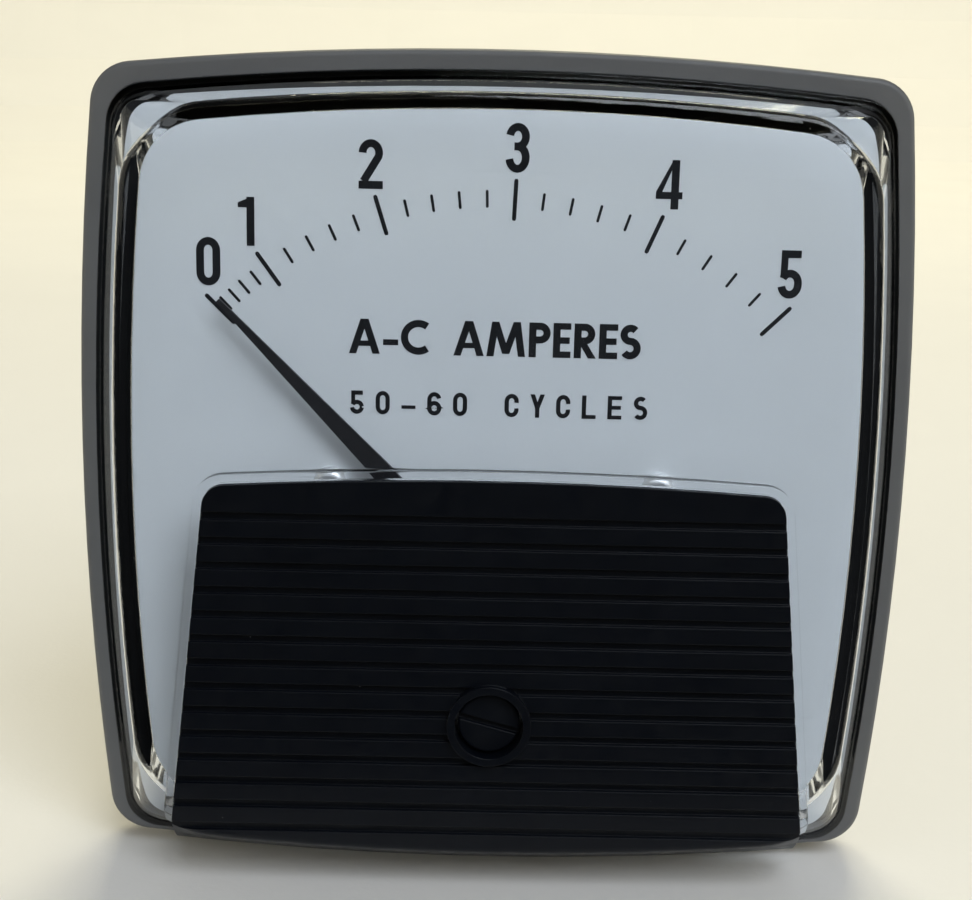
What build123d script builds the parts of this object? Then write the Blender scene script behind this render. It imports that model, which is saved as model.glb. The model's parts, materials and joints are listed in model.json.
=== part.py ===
from build123d import *
from math import cos, pi, radians, sin
import os

# Flush panel meter for alternating current, 0 to 5, moving-iron type.
# Millimetres. Origin on the barrel's axis, in the plane of the flange's rear face.
# +Z is up, +X is to the right as the dial is read, and the dial faces -Y.

# Flange of the base
FLANGE_HALF_WIDTH = 37.4
FLANGE_HALF_HEIGHT = 37.55
FLANGE_RAISE = 0.75             # the flange's middle is this far above the barrel's axis
FLANGE_THICKNESS = 6.0
FLANGE_CORNER = 3.8
FLANGE_ROUNDING = 0.5
BOW = 2.0                       # the middle of a side stands this far outside its corners
WEB_FRONT = -2.0                # front face of the wall that joins the flange to the barrel

BEYOND = 4.0                    # how far a cutting tool reaches past what it cuts

# Barrel of the base, which goes through the panel
BARREL_RADIUS = 27.4
BARREL_LENGTH = 31.0
BARREL_WALL = 2.0
REAR_WALL = 2.2
BARREL_EDGE = 0.8
PILLAR_RADIUS = 2.6
PILLAR_X, PILLAR_Z = 21.0, 8.0
PILLAR_HOLE_END = 9.0

# Clear cover
COVER_FRONT = -13.0
COVER_WALL = 1.3
COVER_FRONT_WALL = 1.8
COVER_EDGE = 0.8
LIP_HALF_WIDTH, LIP_HALF_HEIGHT, LIP_CORNER = 35.8, 36.2, 3.4
LIP_RAISE = 0.3
LIP_FRONT = -7.0
LIP_STEP = 0.4
FACE_HALF_WIDTH, FACE_HALF_HEIGHT, FACE_CORNER = 32.95, 33.1, 8.5
FACE_SIDE_BOW = 1.7
CAVITY_REAR_CORNER, CAVITY_FRONT_CORNER = 1.2, 5.8
FACE_RAISE = 1.75               # the front face sits this far above the barrel's axis
GASKET_THICKNESS = 0.6
GASKET_WIDTH = 4.4
LIP_CLEARANCE = 0.08
RIM_ROOT = 1.0                  # depth to which the mask's rim runs into the cover

# Ribbed mask on the lower half of the cover
MASK_THICKNESS = 1.3
MASK_TOP_HALF_WIDTH, MASK_TOP_CORNER_Z, MASK_TOP_Z = 25.1, 1.2, 2.1
MASK_FOOT_HALF_WIDTH, MASK_FOOT_Z = 29.5, -40.0
MASK_CORNER = 2.0
MASK_REAR = -9.0
MASK_GAP = 0.05
RIM_WIDTH, RIM_HEIGHT = 0.8, 0.9
RIB_PITCH, RIB_COUNT = 2.24, 14
GROOVE_WIDTH, GROOVE_DEPTH = 0.75, 0.45
FIRST_GROOVE_Z = -1.05
BOSS_RADIUS, BOSS_PROUD = 3.75, 0.6

# Dial
DIAL_FACE, DIAL_THICKNESS = -8.0, 0.5
DIAL_HALF_WIDTH, DIAL_HALF_HEIGHT, DIAL_CORNER = 32.5, 33.1, 1.5
DIAL_SIDE_BOW, DIAL_END_BOW, DIAL_RAISE = 1.4, 1.2, 0.65
WINDOW_HALF_WIDTH, WINDOW_FOOT_Z, WINDOW_CORNER = 19.5, -28.0, 3.0
DIAL_SCREW_X, DIAL_SCREW_Z = 14.6, 0.4
DIAL_SCREW_HEAD, DIAL_SCREW_DOME, DIAL_SCREW_ROUNDING, DIAL_POST_RADIUS = 1.45, 0.9, 0.7, 2.2
SMALL_SHANK, SMALL_SCREW_LENGTH = 0.8, 5.0      # screws of the dial and of the bridges
SCREW_SLOT = 0.4

# Movement: everything turns about an axis parallel to Y at this height
PIVOT_Z = -8.5
WINDOW_TOP_Z = PIVOT_Z + 7.6
REST_ANGLE = -43.8              # pointer just above its zero mark, from straight up
FRAME_FRONT, FRAME_THICKNESS, FRAME_RADIUS = 0.4, 1.2, 24.9
FRAME_HEIGHT, FRAME_MIDDLE_Z = 37.0, -6.0
FRAME_SCREW_SHANK, FRAME_SCREW_LENGTH = 1.1, 7.0
FRAME_REAR = FRAME_FRONT + FRAME_THICKNESS
STAFF_HOLE = 3.2
BRIDGE_FRONT, BRIDGE_THICKNESS = -7.3, 1.0
BRIDGE_REAR = BRIDGE_FRONT + BRIDGE_THICKNESS
BRIDGE_HALF_LENGTH, BRIDGE_HALF_HEIGHT, BRIDGE_POST_X, BRIDGE_POST_RADIUS = 18.2, 3.0, 16.0, 1.9
REAR_BRIDGE_FRONT, REAR_BRIDGE_THICKNESS, REAR_POST_X, REAR_POST_RADIUS = 14.6, 1.2, 16.9, 1.8
REAR_BRIDGE_HALF_LENGTH = REAR_POST_X + 2.4
REAR_BRIDGE_REAR = REAR_BRIDGE_FRONT + REAR_BRIDGE_THICKNESS
SCREW_HEAD_RADIUS, SCREW_HEAD_HEIGHT = 1.6, 0.8

# Bearings and staff
JEWEL_SCREW_RADIUS, JEWEL_RADIUS, JEWEL_LENGTH = 1.6, 0.8, 0.8
JEWEL_SCREW_LENGTH, JEWEL_SCREW_SLOT, JEWEL_SCREW_SLOT_DEPTH = 4.0, 0.5, 0.6
JEWEL_FRONT_Y, JEWEL_REAR_Y = -4.6, 13.4        # mouths of the two jewels
CUP_RADIUS, CUP_DEPTH = 0.5, 0.55
STAFF_RADIUS, PIVOT_RADIUS, PIVOT_LENGTH, PIVOT_TIP = 0.6, 0.45, 0.78, 0.04
PIVOT_SHAKE = 0.07                              # end play at each pivot
LOCKNUT_ACROSS_FLATS, LOCKNUT_HEIGHT = 5.5, 1.0

# Zero adjuster, and the arm that its eccentric pin moves
ADJUSTER_Z = -20.2
ADJUSTER_HEAD, ADJUSTER_HOLE, ADJUSTER_SHANK, ADJUSTER_BORE = 2.75, 3.05, 2.0, 2.05
ADJUSTER_FRONT, ADJUSTER_SHANK_END, ADJUSTER_ROUNDING = -14.0, -10.5, 0.25
RETAINER_RADIUS, RETAINER_THICKNESS, RETAINER_GAP = 3.4, 0.5, 0.05
SLOT_WIDTH, SLOT_DEPTH, SLOT_TILT = 0.6, 0.55, -15.0
ECCENTRICITY, PIN_RADIUS, PIN_END = 1.2, 0.6, -5.45
ARM_FRONT, ARM_THICKNESS = -6.15, 0.5
ARM_REAR = ARM_FRONT + ARM_THICKNESS
ARM_RING, ARM_BORE, ARM_LENGTH, ARM_HALF_WIDTH, ARM_CORNER = 3.0, 1.66, 12.9, 1.9, 0.8
PIN_CLEARANCE, PIN_SLOT_TRAVEL = 0.12, 1.6
RETAINING_RING_RADIUS, RETAINING_RING = 2.5, (-5.55, -5.25)
PIN_REACH = PIVOT_Z - ADJUSTER_Z - ECCENTRICITY  # from the pivot down to the pin

# Hairspring: half turns of growing radius
SPRING_FRONT, SPRING_REAR = -4.3, -3.75
SPRING_INNER, SPRING_PITCH, SPRING_HALF_TURNS, SPRING_STRIP = 1.6, 0.7, 8, 0.12
SPRING_OUTER = SPRING_INNER + SPRING_HALF_TURNS * SPRING_PITCH / 2
STUD_RADIUS = 0.4
COLLET_RADIUS, COLLET_MARGIN = 1.3, 0.1

# Pointer, with a step up through the dial's window, and its balance
POINTER_THICKNESS = 0.35
POINTER_LOW, POINTER_HIGH = -2.9, -9.6          # planes of the hub end and of the blade
STEP_START, STEP_END = 5.0, 7.7
POINTER_ROOT_WIDTH, POINTER_TIP_WIDTH, POINTER_LENGTH = 2.2, 0.4, 35.0
HUB_RADIUS, HUB_THICKNESS, HUB_OVERLAP = 2.2, 0.8, 0.5
BALANCE_ROD, BALANCE_REACH = 0.35, 7.8
WEIGHT_RADIUS, WEIGHT_LENGTH = 0.7, 1.2
TAIL_WEIGHT_AT, SIDE_WEIGHT_AT = 5.53, 5.0    # these bring the centre of mass onto the axis
STOP_RADIUS, STOP_AT, STOP_ANGLE, STOP_END = 0.4, 6.05, 65.2, -4.8

# Magnetic damping
VANE_FRONT, VANE_THICKNESS, VANE_RADIUS, VANE_HALF_ANGLE = -1.95, 0.315, 13.0, 75.0
MAGNET_HALF_WIDTH, MAGNET_TOP, MAGNET_FOOT = 3.5, 8.9, 12.9
MAGNET_FRONT = (-4.4, -2.6)
MAGNET_BACK = (-1.3, FRAME_FRONT)
YOKE_HALF_WIDTH, YOKE_TOP, YOKE_FOOT, YOKE_THICKNESS = 4.0, 8.4, 14.4, 0.8

# Field coil and the two iron vanes in its bore
BOBBIN_LENGTH, BOBBIN_BORE, BOBBIN_TUBE, BOBBIN_FLANGE = 12.0, 6.6, 7.4, 14.2
BOBBIN_REAR = FRAME_REAR + BOBBIN_LENGTH
COIL_RADIUS, FLANGE_SHEET = 13.2, 1.0
FIXED_VANE_INNER, FIXED_VANE_ANGLE = 6.1, 90.0
MOVING_VANE_INNER, MOVING_VANE_OUTER, MOVING_VANE_ANGLE = 5.0, 5.3, 50.0
VANE_ENDS = (3.4, 11.6)
VANE_WEB = (7.0, 8.0)
VANE_COLLAR, VANE_WEB_OVERLAP = 1.4, 0.1
CLAMP_WASHER_OUTER, CLAMP_WASHER_INNER = 12.0, 7.5

# Terminals and mounting studs
TERMINAL_X, TERMINAL_RADIUS, TERMINAL_NECK, TERMINAL_LENGTH = 12.7, 2.413, 2.2, 20.0
TERMINAL_HEAD_ACROSS_FLATS, TERMINAL_HEAD_HEIGHT, TERMINAL_POINT = 8.0, 2.4, 0.5
TERMINAL_NUT_ACROSS_FLATS, TERMINAL_NUT_HEIGHT = 9.5, 3.2
WASHER_RADIUS, WASHER_THICKNESS = 5.0, 1.0
LUG_THICKNESS, LUG_RADIUS, LUG_BARREL_Z, LUG_BARREL_RADIUS, LUG_BARREL_LENGTH = 0.8, 4.2, 6.6, 1.4, 4.0
LEAD_RADIUS, LEAD_BEND = 0.8, 2.4
LEAD_START_X, LEAD_START_Y, LEAD_TURN_Y, LEAD_RISE = 8.0, 8.0, 16.0, 1.0
MOUNT_STUD_SPACING, MOUNT_STUD_RADIUS, MOUNT_STUD_LENGTH = 43.8, 1.4225, 16.0
MOUNT_STUD_HEAD_RADIUS, MOUNT_STUD_KNURL_RADIUS = 2.4, 1.7
MOUNT_STUD_HEAD = (-1.5, -0.5)                  # depths between which the moulded-in head lies


def facing(y):
    """Plane at depth y with local x to the right and local y up, facing the reader."""
    return Plane(origin=(0, y, 0), x_dir=(1, 0, 0), z_dir=(0, -1, 0))


def slab(outline, front, rear):
    """Solid with this outline between two depths."""
    return extrude(facing(rear) * outline, amount=rear - front, dir=(0, -1, 0))


def rod(radius, front, rear, x=0.0, z=0.0):
    return slab(Pos(x, z) * Circle(radius), front, rear)


def ring(outer, inner, front, rear, x=0.0, z=0.0):
    return slab(Pos(x, z) * (Circle(outer) - Circle(inner)), front, rear)


def block(x_range, z_range, front, rear):
    width, height = x_range[1] - x_range[0], z_range[1] - z_range[0]
    middle = Pos(sum(x_range) / 2, sum(z_range) / 2)
    return slab(middle * Rectangle(width, height), front, rear)


def hexagon(across_flats, bore, front, rear, x=0.0, z=0.0):
    outline = RegularPolygon(across_flats / 2, 6, major_radius=False) - Circle(bore)
    return slab(Pos(x, z) * outline, front, rear)


def pair(make, x, z):
    """The same piece on the left and on the right."""
    return make(-x, z) + make(x, z)


def bowed_rectangle(half_width, half_height, corner, raise_by=0.0, side_bow=BOW, end_bow=BOW):
    """Rectangle with four gently bowed sides and rounded corners."""
    x, z = half_width - side_bow, half_height - end_bow
    sides = [
        ThreePointArc((x, -z), (half_width, 0), (x, z)),
        ThreePointArc((x, z), (0, half_height), (-x, z)),
        ThreePointArc((-x, z), (-half_width, 0), (-x, -z)),
        ThreePointArc((-x, -z), (0, -half_height), (x, -z)),
    ]
    face = make_face(sides)
    return Pos(0, raise_by) * fillet(face.vertices(), corner)


def tapered(rear_outline, rear, front_outline, front):
    return loft([facing(rear) * rear_outline, facing(front) * front_outline])


def on_pivot(shape, angle=0.0):
    """Move a piece that is drawn about the Y axis to the movement's axis, turned by angle."""
    return Pos(0, 0, PIVOT_Z) * Rot(0, angle, 0) * shape


# ---- case ----

def mounting_studs():
    half = MOUNT_STUD_SPACING / 2

    def stud(x, z):
        head = rod(MOUNT_STUD_HEAD_RADIUS, *MOUNT_STUD_HEAD, x, z)
        knurl = rod(MOUNT_STUD_KNURL_RADIUS, MOUNT_STUD_HEAD[1], 0, x, z)
        return head + knurl + rod(MOUNT_STUD_RADIUS, 0, MOUNT_STUD_LENGTH, x, z)

    return pair(stud, half, half) + pair(stud, half, -half)


def lip_outline(grow=0.0, corner=LIP_CORNER):
    """Edge of the cover's lip, made larger all round by grow."""
    return bowed_rectangle(LIP_HALF_WIDTH + grow, LIP_HALF_HEIGHT + grow, corner, LIP_RAISE)


def base_housing():
    outline = bowed_rectangle(FLANGE_HALF_WIDTH, FLANGE_HALF_HEIGHT, FLANGE_CORNER, FLANGE_RAISE)
    recess = lip_outline(LIP_CLEARANCE)
    flange = slab(outline, -FLANGE_THICKNESS, 0)
    flange = fillet(flange.faces().sort_by(Axis.Y)[0].edges(), FLANGE_ROUNDING)
    flange -= slab(recess, -FLANGE_THICKNESS, WEB_FRONT)
    barrel = rod(BARREL_RADIUS, 0, BARREL_LENGTH)
    rear_edge = barrel.edges().filter_by(GeomType.CIRCLE).sort_by(Axis.Y)[-1]
    barrel = fillet(rear_edge, BARREL_EDGE)
    inside = rod(BARREL_RADIUS - BARREL_WALL, WEB_FRONT, BARREL_LENGTH - REAR_WALL)
    pillars = pair(lambda x, z: rod(PILLAR_RADIUS, FRAME_REAR, BARREL_LENGTH - REAR_WALL, x, z),
                   PILLAR_X, PILLAR_Z)
    screw_holes = pair(lambda x, z: rod(FRAME_SCREW_SHANK, FRAME_REAR, PILLAR_HOLE_END, x, z),
                       PILLAR_X, PILLAR_Z)
    stud_holes = pair(lambda x, z: rod(TERMINAL_NECK, LUG_REAR, BARREL_LENGTH, x, z), TERMINAL_X, 0)
    housing = flange + barrel - inside + pillars
    return housing - screw_holes - stud_holes - mounting_studs()


def cover_form(grow=0.0):
    """Outer shape of the cover in front of its lip, made larger all round by grow."""
    rear = lip_outline(grow - LIP_STEP, LIP_CORNER + grow)
    front = bowed_rectangle(FACE_HALF_WIDTH + grow, FACE_HALF_HEIGHT + grow, FACE_CORNER + grow,
                            FACE_RAISE, FACE_SIDE_BOW)
    form = tapered(rear, LIP_FRONT, front, COVER_FRONT - grow)
    front_face = form.faces().sort_by(Axis.Y)[0]
    return fillet(front_face.edges(), COVER_EDGE)


def mask_outline(grow=0.0):
    """Trapezoid with a bowed top edge, wider towards its foot."""
    top, foot = MASK_TOP_HALF_WIDTH + grow, MASK_FOOT_HALF_WIDTH + grow
    corner_z, middle_z = MASK_TOP_CORNER_Z + grow, MASK_TOP_Z + grow
    edges = [
        ThreePointArc((-top, corner_z), (0, middle_z), (top, corner_z)),
        Line((top, corner_z), (foot, MASK_FOOT_Z)),
        Line((foot, MASK_FOOT_Z), (-foot, MASK_FOOT_Z)),
        Line((-foot, MASK_FOOT_Z), (-top, corner_z)),
    ]
    face = make_face(edges)
    upper = face.vertices().sort_by(Axis.Y)[-2:]
    return fillet(upper, MASK_CORNER + grow)


def clear_cover():
    lip = slab(lip_outline(), LIP_FRONT, WEB_FRONT - GASKET_THICKNESS)
    rear = lip_outline(-COVER_WALL - LIP_STEP, CAVITY_REAR_CORNER)
    front = bowed_rectangle(FACE_HALF_WIDTH - COVER_WALL, FACE_HALF_HEIGHT - COVER_WALL,
                            CAVITY_FRONT_CORNER, FACE_RAISE, FACE_SIDE_BOW)
    hollow = tapered(rear, LIP_FRONT, front, COVER_FRONT + COVER_FRONT_WALL)
    hollow += slab(rear, LIP_FRONT, WEB_FRONT - GASKET_THICKNESS)
    rim = slab(mask_outline(RIM_WIDTH) - mask_outline(MASK_GAP), COVER_FRONT - RIM_HEIGHT,
               COVER_FRONT + RIM_ROOT)
    rim &= cover_form(RIM_HEIGHT)
    bore = rod(ADJUSTER_BORE, COVER_FRONT - BEYOND, COVER_FRONT + BEYOND, 0, ADJUSTER_Z)
    return lip + cover_form() + rim - hollow - bore


def lower_mask():
    shell = cover_form(MASK_THICKNESS) - cover_form(MASK_GAP)
    shell &= slab(mask_outline(), COVER_FRONT - BEYOND, MASK_REAR)
    front = COVER_FRONT - MASK_THICKNESS
    for i in range(RIB_COUNT):
        z = FIRST_GROOVE_Z - i * RIB_PITCH
        shell -= block((-LIP_HALF_WIDTH, LIP_HALF_WIDTH), (z - GROOVE_WIDTH, z), front - BEYOND,
                       front + GROOVE_DEPTH)
    shell += rod(BOSS_RADIUS, front - BOSS_PROUD, COVER_FRONT - MASK_GAP, 0, ADJUSTER_Z)
    return shell - rod(ADJUSTER_HOLE, front - BEYOND, COVER_FRONT, 0, ADJUSTER_Z)


def cover_gasket():
    outline = lip_outline() - lip_outline(-GASKET_WIDTH)
    return slab(outline, WEB_FRONT - GASKET_THICKNESS, WEB_FRONT)


# ---- dial and frame of the movement ----

def dial_plate():
    plate = bowed_rectangle(DIAL_HALF_WIDTH, DIAL_HALF_HEIGHT, DIAL_CORNER, DIAL_RAISE,
                            DIAL_SIDE_BOW, DIAL_END_BOW)
    height = WINDOW_TOP_Z - WINDOW_FOOT_Z
    window = Pos(0, WINDOW_FOOT_Z + height / 2) * RectangleRounded(2 * WINDOW_HALF_WIDTH, height,
                                                                   WINDOW_CORNER)
    plate -= window
    holes = pair(lambda x, z: Pos(x, z) * Circle(SMALL_SHANK), DIAL_SCREW_X, DIAL_SCREW_Z)
    return slab(plate - holes, DIAL_FACE, DIAL_FACE + DIAL_THICKNESS)


def dial_screws():
    def screw(x, z):
        head = rod(DIAL_SCREW_HEAD, DIAL_FACE - DIAL_SCREW_DOME, DIAL_FACE, x, z)
        head = fillet(head.edges().sort_by(Axis.Y)[0], DIAL_SCREW_ROUNDING)
        return head + rod(SMALL_SHANK, DIAL_FACE, DIAL_FACE + SMALL_SCREW_LENGTH, x, z)

    return pair(screw, DIAL_SCREW_X, DIAL_SCREW_Z)


def movement_frame():
    disc = Circle(FRAME_RADIUS) & Pos(0, FRAME_MIDDLE_Z) * Rectangle(2 * FRAME_RADIUS, FRAME_HEIGHT)
    plate = slab(disc, FRAME_FRONT, FRAME_REAR)
    dial_posts = pair(lambda x, z: rod(DIAL_POST_RADIUS, DIAL_FACE + DIAL_THICKNESS, FRAME_FRONT, x, z),
                      DIAL_SCREW_X, DIAL_SCREW_Z)
    bridge_posts = pair(lambda x, z: rod(BRIDGE_POST_RADIUS, BRIDGE_REAR, FRAME_FRONT, x, z),
                        BRIDGE_POST_X, PIVOT_Z)
    frame = plate + dial_posts + bridge_posts
    frame -= rod(STAFF_HOLE, FRAME_FRONT, FRAME_REAR, 0, PIVOT_Z)
    return frame - dial_screws() - bridge_screws() - movement_screws()


def pan_screw(x, z, seat, length=SMALL_SCREW_LENGTH, shank=SMALL_SHANK, facing_rear=False):
    """Slotted screw whose head rests on a face at depth seat."""
    away = 1 if facing_rear else -1
    tip, top = seat - away * length, seat + away * SCREW_HEAD_HEIGHT
    head_radius = SCREW_HEAD_RADIUS + shank - SMALL_SHANK
    head = rod(head_radius, min(seat, top), max(seat, top), x, z)
    slot_floor = top - away * SCREW_HEAD_HEIGHT / 2
    slot = block((x - head_radius, x + head_radius), (z - SCREW_SLOT / 2, z + SCREW_SLOT / 2),
                 min(top, slot_floor), max(top, slot_floor))
    return head - slot + rod(shank, min(seat, tip), max(seat, tip), x, z)


def movement_screws():
    return pair(lambda x, z: pan_screw(x, z, FRAME_FRONT, FRAME_SCREW_LENGTH, FRAME_SCREW_SHANK),
                PILLAR_X, PILLAR_Z)


def bridge_screws():
    return pair(lambda x, z: pan_screw(x, z, BRIDGE_FRONT), BRIDGE_POST_X, PIVOT_Z)


def rear_bridge_screws():
    return pair(lambda x, z: pan_screw(x, z, REAR_BRIDGE_REAR, facing_rear=True), REAR_POST_X, PIVOT_Z)


def front_bridge():
    strap = Pos(0, PIVOT_Z) * SlotOverall(2 * BRIDGE_HALF_LENGTH, 2 * BRIDGE_HALF_HEIGHT)
    hole = rod(JEWEL_SCREW_RADIUS, BRIDGE_FRONT, BRIDGE_REAR, 0, PIVOT_Z)
    return slab(strap, BRIDGE_FRONT, BRIDGE_REAR) - bridge_screws() - hole


def rear_bridge():
    strap = Pos(0, PIVOT_Z) * SlotOverall(2 * REAR_BRIDGE_HALF_LENGTH, 2 * BRIDGE_HALF_HEIGHT)
    hole = rod(JEWEL_SCREW_RADIUS, REAR_BRIDGE_FRONT, REAR_BRIDGE_REAR, 0, PIVOT_Z)
    return slab(strap, REAR_BRIDGE_FRONT, REAR_BRIDGE_REAR) - rear_bridge_screws() - hole


def frame_pillars():
    posts = pair(lambda x, z: rod(REAR_POST_RADIUS, FRAME_REAR, REAR_BRIDGE_FRONT, x, z),
                 REAR_POST_X, PIVOT_Z)
    return posts - rear_bridge_screws()


def pointer_stops():
    """Two posts on the rear of the front bridge that stop the pointer's step."""
    side, up = STOP_AT * sin(radians(STOP_ANGLE)), STOP_AT * cos(radians(STOP_ANGLE))
    return pair(lambda x, z: rod(STOP_RADIUS, BRIDGE_REAR, STOP_END, x, z), side, PIVOT_Z + up)


# ---- bearings ----

def jewel(mouth, deeper):
    """Cup jewel whose mouth is at depth mouth; deeper is the direction of its bottom."""
    back = mouth + deeper * JEWEL_LENGTH
    body = rod(JEWEL_RADIUS, min(mouth, back), max(mouth, back))
    profile = Polyline((0, mouth), (CUP_RADIUS, mouth), (0, mouth + deeper * CUP_DEPTH), close=True)
    cup = revolve(make_face(profile), Axis.Y)
    return on_pivot(body - cup)


def jewel_screw(mouth, deeper):
    """Slotted screw that holds a jewel; deeper is the direction away from the staff."""
    end = mouth + deeper * JEWEL_SCREW_LENGTH
    body = rod(JEWEL_SCREW_RADIUS, min(mouth, end), max(mouth, end))
    seat = mouth + deeper * JEWEL_LENGTH
    body -= rod(JEWEL_RADIUS, min(mouth, seat), max(mouth, seat))
    slot_floor = end - deeper * JEWEL_SCREW_SLOT_DEPTH
    body -= block((-JEWEL_SCREW_RADIUS, JEWEL_SCREW_RADIUS), (-JEWEL_SCREW_SLOT / 2, JEWEL_SCREW_SLOT / 2),
                  min(end, slot_floor), max(end, slot_floor))
    return on_pivot(body)


def locknut(front):
    return hexagon(LOCKNUT_ACROSS_FLATS, JEWEL_SCREW_RADIUS, front, front + LOCKNUT_HEIGHT, 0, PIVOT_Z)


def staff():
    front_tip = JEWEL_FRONT_Y - CUP_DEPTH + PIVOT_SHAKE
    rear_tip = JEWEL_REAR_Y + CUP_DEPTH - PIVOT_SHAKE
    profile = Polyline(
        (0, front_tip), (PIVOT_TIP, front_tip), (PIVOT_RADIUS, front_tip + PIVOT_LENGTH),
        (STAFF_RADIUS, front_tip + PIVOT_LENGTH), (STAFF_RADIUS, rear_tip - PIVOT_LENGTH),
        (PIVOT_RADIUS, rear_tip - PIVOT_LENGTH), (PIVOT_TIP, rear_tip), (0, rear_tip), close=True)
    return on_pivot(revolve(make_face(profile), Axis.Y))


# ---- zero adjuster, arm and hairspring ----

def zero_screw():
    head = rod(ADJUSTER_HEAD, ADJUSTER_FRONT, COVER_FRONT - MASK_GAP)
    head = fillet(head.edges().sort_by(Axis.Y)[0], ADJUSTER_ROUNDING)
    slot = Rot(0, -SLOT_TILT, 0) * block((-BEYOND, BEYOND), (-SLOT_WIDTH / 2, SLOT_WIDTH / 2),
                                         ADJUSTER_FRONT, ADJUSTER_FRONT + SLOT_DEPTH)
    shank = rod(ADJUSTER_SHANK, COVER_FRONT - MASK_GAP, ADJUSTER_SHANK_END)
    pin = rod(PIN_RADIUS, ADJUSTER_SHANK_END, PIN_END, 0, ECCENTRICITY)
    return Pos(0, 0, ADJUSTER_Z) * (head - slot + shank + pin)


def zero_retainer():
    """Push-on ring behind the cover that keeps the adjuster in its hole."""
    front = COVER_FRONT + COVER_FRONT_WALL + RETAINER_GAP
    return ring(RETAINER_RADIUS, ADJUSTER_SHANK, front, front + RETAINER_THICKNESS, 0, ADJUSTER_Z)


def zero_arm():
    blade = Circle(ARM_RING) + Pos(0, -ARM_LENGTH / 2) * RectangleRounded(
        2 * ARM_HALF_WIDTH, ARM_LENGTH, ARM_CORNER)
    slot = Pos(0, -PIN_REACH) * Rot(0, 0, 90) * SlotCenterToCenter(
        PIN_SLOT_TRAVEL, 2 * (PIN_RADIUS + PIN_CLEARANCE))
    return on_pivot(slab(blade - Circle(ARM_BORE) - slot, ARM_FRONT, ARM_REAR))


def arm_retaining_ring():
    """Push-on ring that keeps the zero arm on the front jewel's screw."""
    return ring(RETAINING_RING_RADIUS, JEWEL_SCREW_RADIUS, *RETAINING_RING, 0, PIVOT_Z)


def half_turn(i, offset):
    """The i-th half turn of the spring's strip, on the side at offset from its middle."""
    radius = SPRING_INNER + i * SPRING_PITCH / 2 + offset
    shift = 0 if i % 2 == 0 else SPRING_PITCH / 2
    return CenterArc((0, shift), radius, 90 + 180 * (i % 2), 180)


def hairspring():
    outer = [half_turn(i, SPRING_STRIP / 2) for i in range(SPRING_HALF_TURNS)]
    inner = [half_turn(i, -SPRING_STRIP / 2) for i in range(SPRING_HALF_TURNS)]
    ends = [Line(outer[0] @ 0, inner[0] @ 0), Line(outer[-1] @ 1, inner[-1] @ 1)]
    return on_pivot(slab(make_face(outer + inner + ends), SPRING_FRONT, SPRING_REAR), 180)


def spring_stud():
    """Post on the arm that holds the outer end of the hairspring."""
    reach = SPRING_OUTER + SPRING_STRIP / 2 + STUD_RADIUS
    return on_pivot(rod(STUD_RADIUS, ARM_REAR, SPRING_REAR, 0, -reach))


# ---- moving element ----

def spring_collet():
    """Collar on the staff that holds the inner end of the hairspring."""
    return on_pivot(ring(COLLET_RADIUS, STAFF_RADIUS, SPRING_FRONT - COLLET_MARGIN,
                         SPRING_REAR + COLLET_MARGIN))


def pointer():
    half = POINTER_THICKNESS / 2
    lean = half * (STEP_END - STEP_START) / (POINTER_LOW - POINTER_HIGH)
    side = Polyline(
        (0, POINTER_LOW + half), (STEP_START + half - lean, POINTER_LOW + half),
        (STEP_END + half - lean, POINTER_HIGH + half), (POINTER_LENGTH, POINTER_HIGH + half),
        (POINTER_LENGTH, POINTER_HIGH - half), (STEP_END - half + lean, POINTER_HIGH - half),
        (STEP_START - half + lean, POINTER_LOW - half), (0, POINTER_LOW - half), close=True)
    upright = Plane(origin=(0, 0, 0), x_dir=(0, 0, 1), z_dir=(-1, 0, 0))
    strip = extrude(upright * make_face(side), amount=POINTER_ROOT_WIDTH, both=True)
    root, tip = POINTER_ROOT_WIDTH / 2, POINTER_TIP_WIDTH / 2
    taper = Polyline((-root, 0), (root, 0), (root, STEP_END), (tip, POINTER_LENGTH),
                     (-tip, POINTER_LENGTH), (-root, STEP_END), close=True)
    blade = strip & slab(make_face(taper), POINTER_HIGH - BEYOND, POINTER_LOW + BEYOND)
    return on_pivot(blade - rod(HUB_RADIUS, POINTER_HIGH, 0), REST_ANGLE)


def balance_cross():
    hub = ring(HUB_RADIUS, STAFF_RADIUS, POINTER_LOW - HUB_THICKNESS / 2, POINTER_LOW + HUB_THICKNESS / 2)
    for angle in (90, 180, 270):
        arm = Rot(0, angle, 0) * Pos(0, POINTER_LOW, 0) * Cylinder(
            BALANCE_ROD, BALANCE_REACH, align=(Align.CENTER, Align.CENTER, Align.MIN))
        hub += arm - rod(HUB_RADIUS - HUB_OVERLAP, POINTER_LOW - BEYOND, POINTER_LOW + BEYOND)
    return on_pivot(hub, REST_ANGLE)


def balance_weights():
    weights = Part()
    for angle, at in ((90, SIDE_WEIGHT_AT), (180, TAIL_WEIGHT_AT), (270, SIDE_WEIGHT_AT)):
        weight = Cylinder(WEIGHT_RADIUS, WEIGHT_LENGTH) - Cylinder(BALANCE_ROD, WEIGHT_LENGTH)
        weights += Rot(0, angle, 0) * Pos(0, POINTER_LOW, at) * weight
    return on_pivot(weights, REST_ANGLE)


def sector(outer, inner, half_angle, middle):
    """Ring sector in the dial's plane; middle is its direction, clockwise from straight up."""
    reach = 2 * outer
    first, last = radians(middle - half_angle), radians(middle + half_angle)
    centre = radians(middle)
    wedge = make_face(Polyline(
        (0, 0), (reach * sin(first), reach * cos(first)), (reach * sin(centre), reach * cos(centre)),
        (reach * sin(last), reach * cos(last)), close=True))
    return (Circle(outer) - Circle(inner)) & wedge


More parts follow.
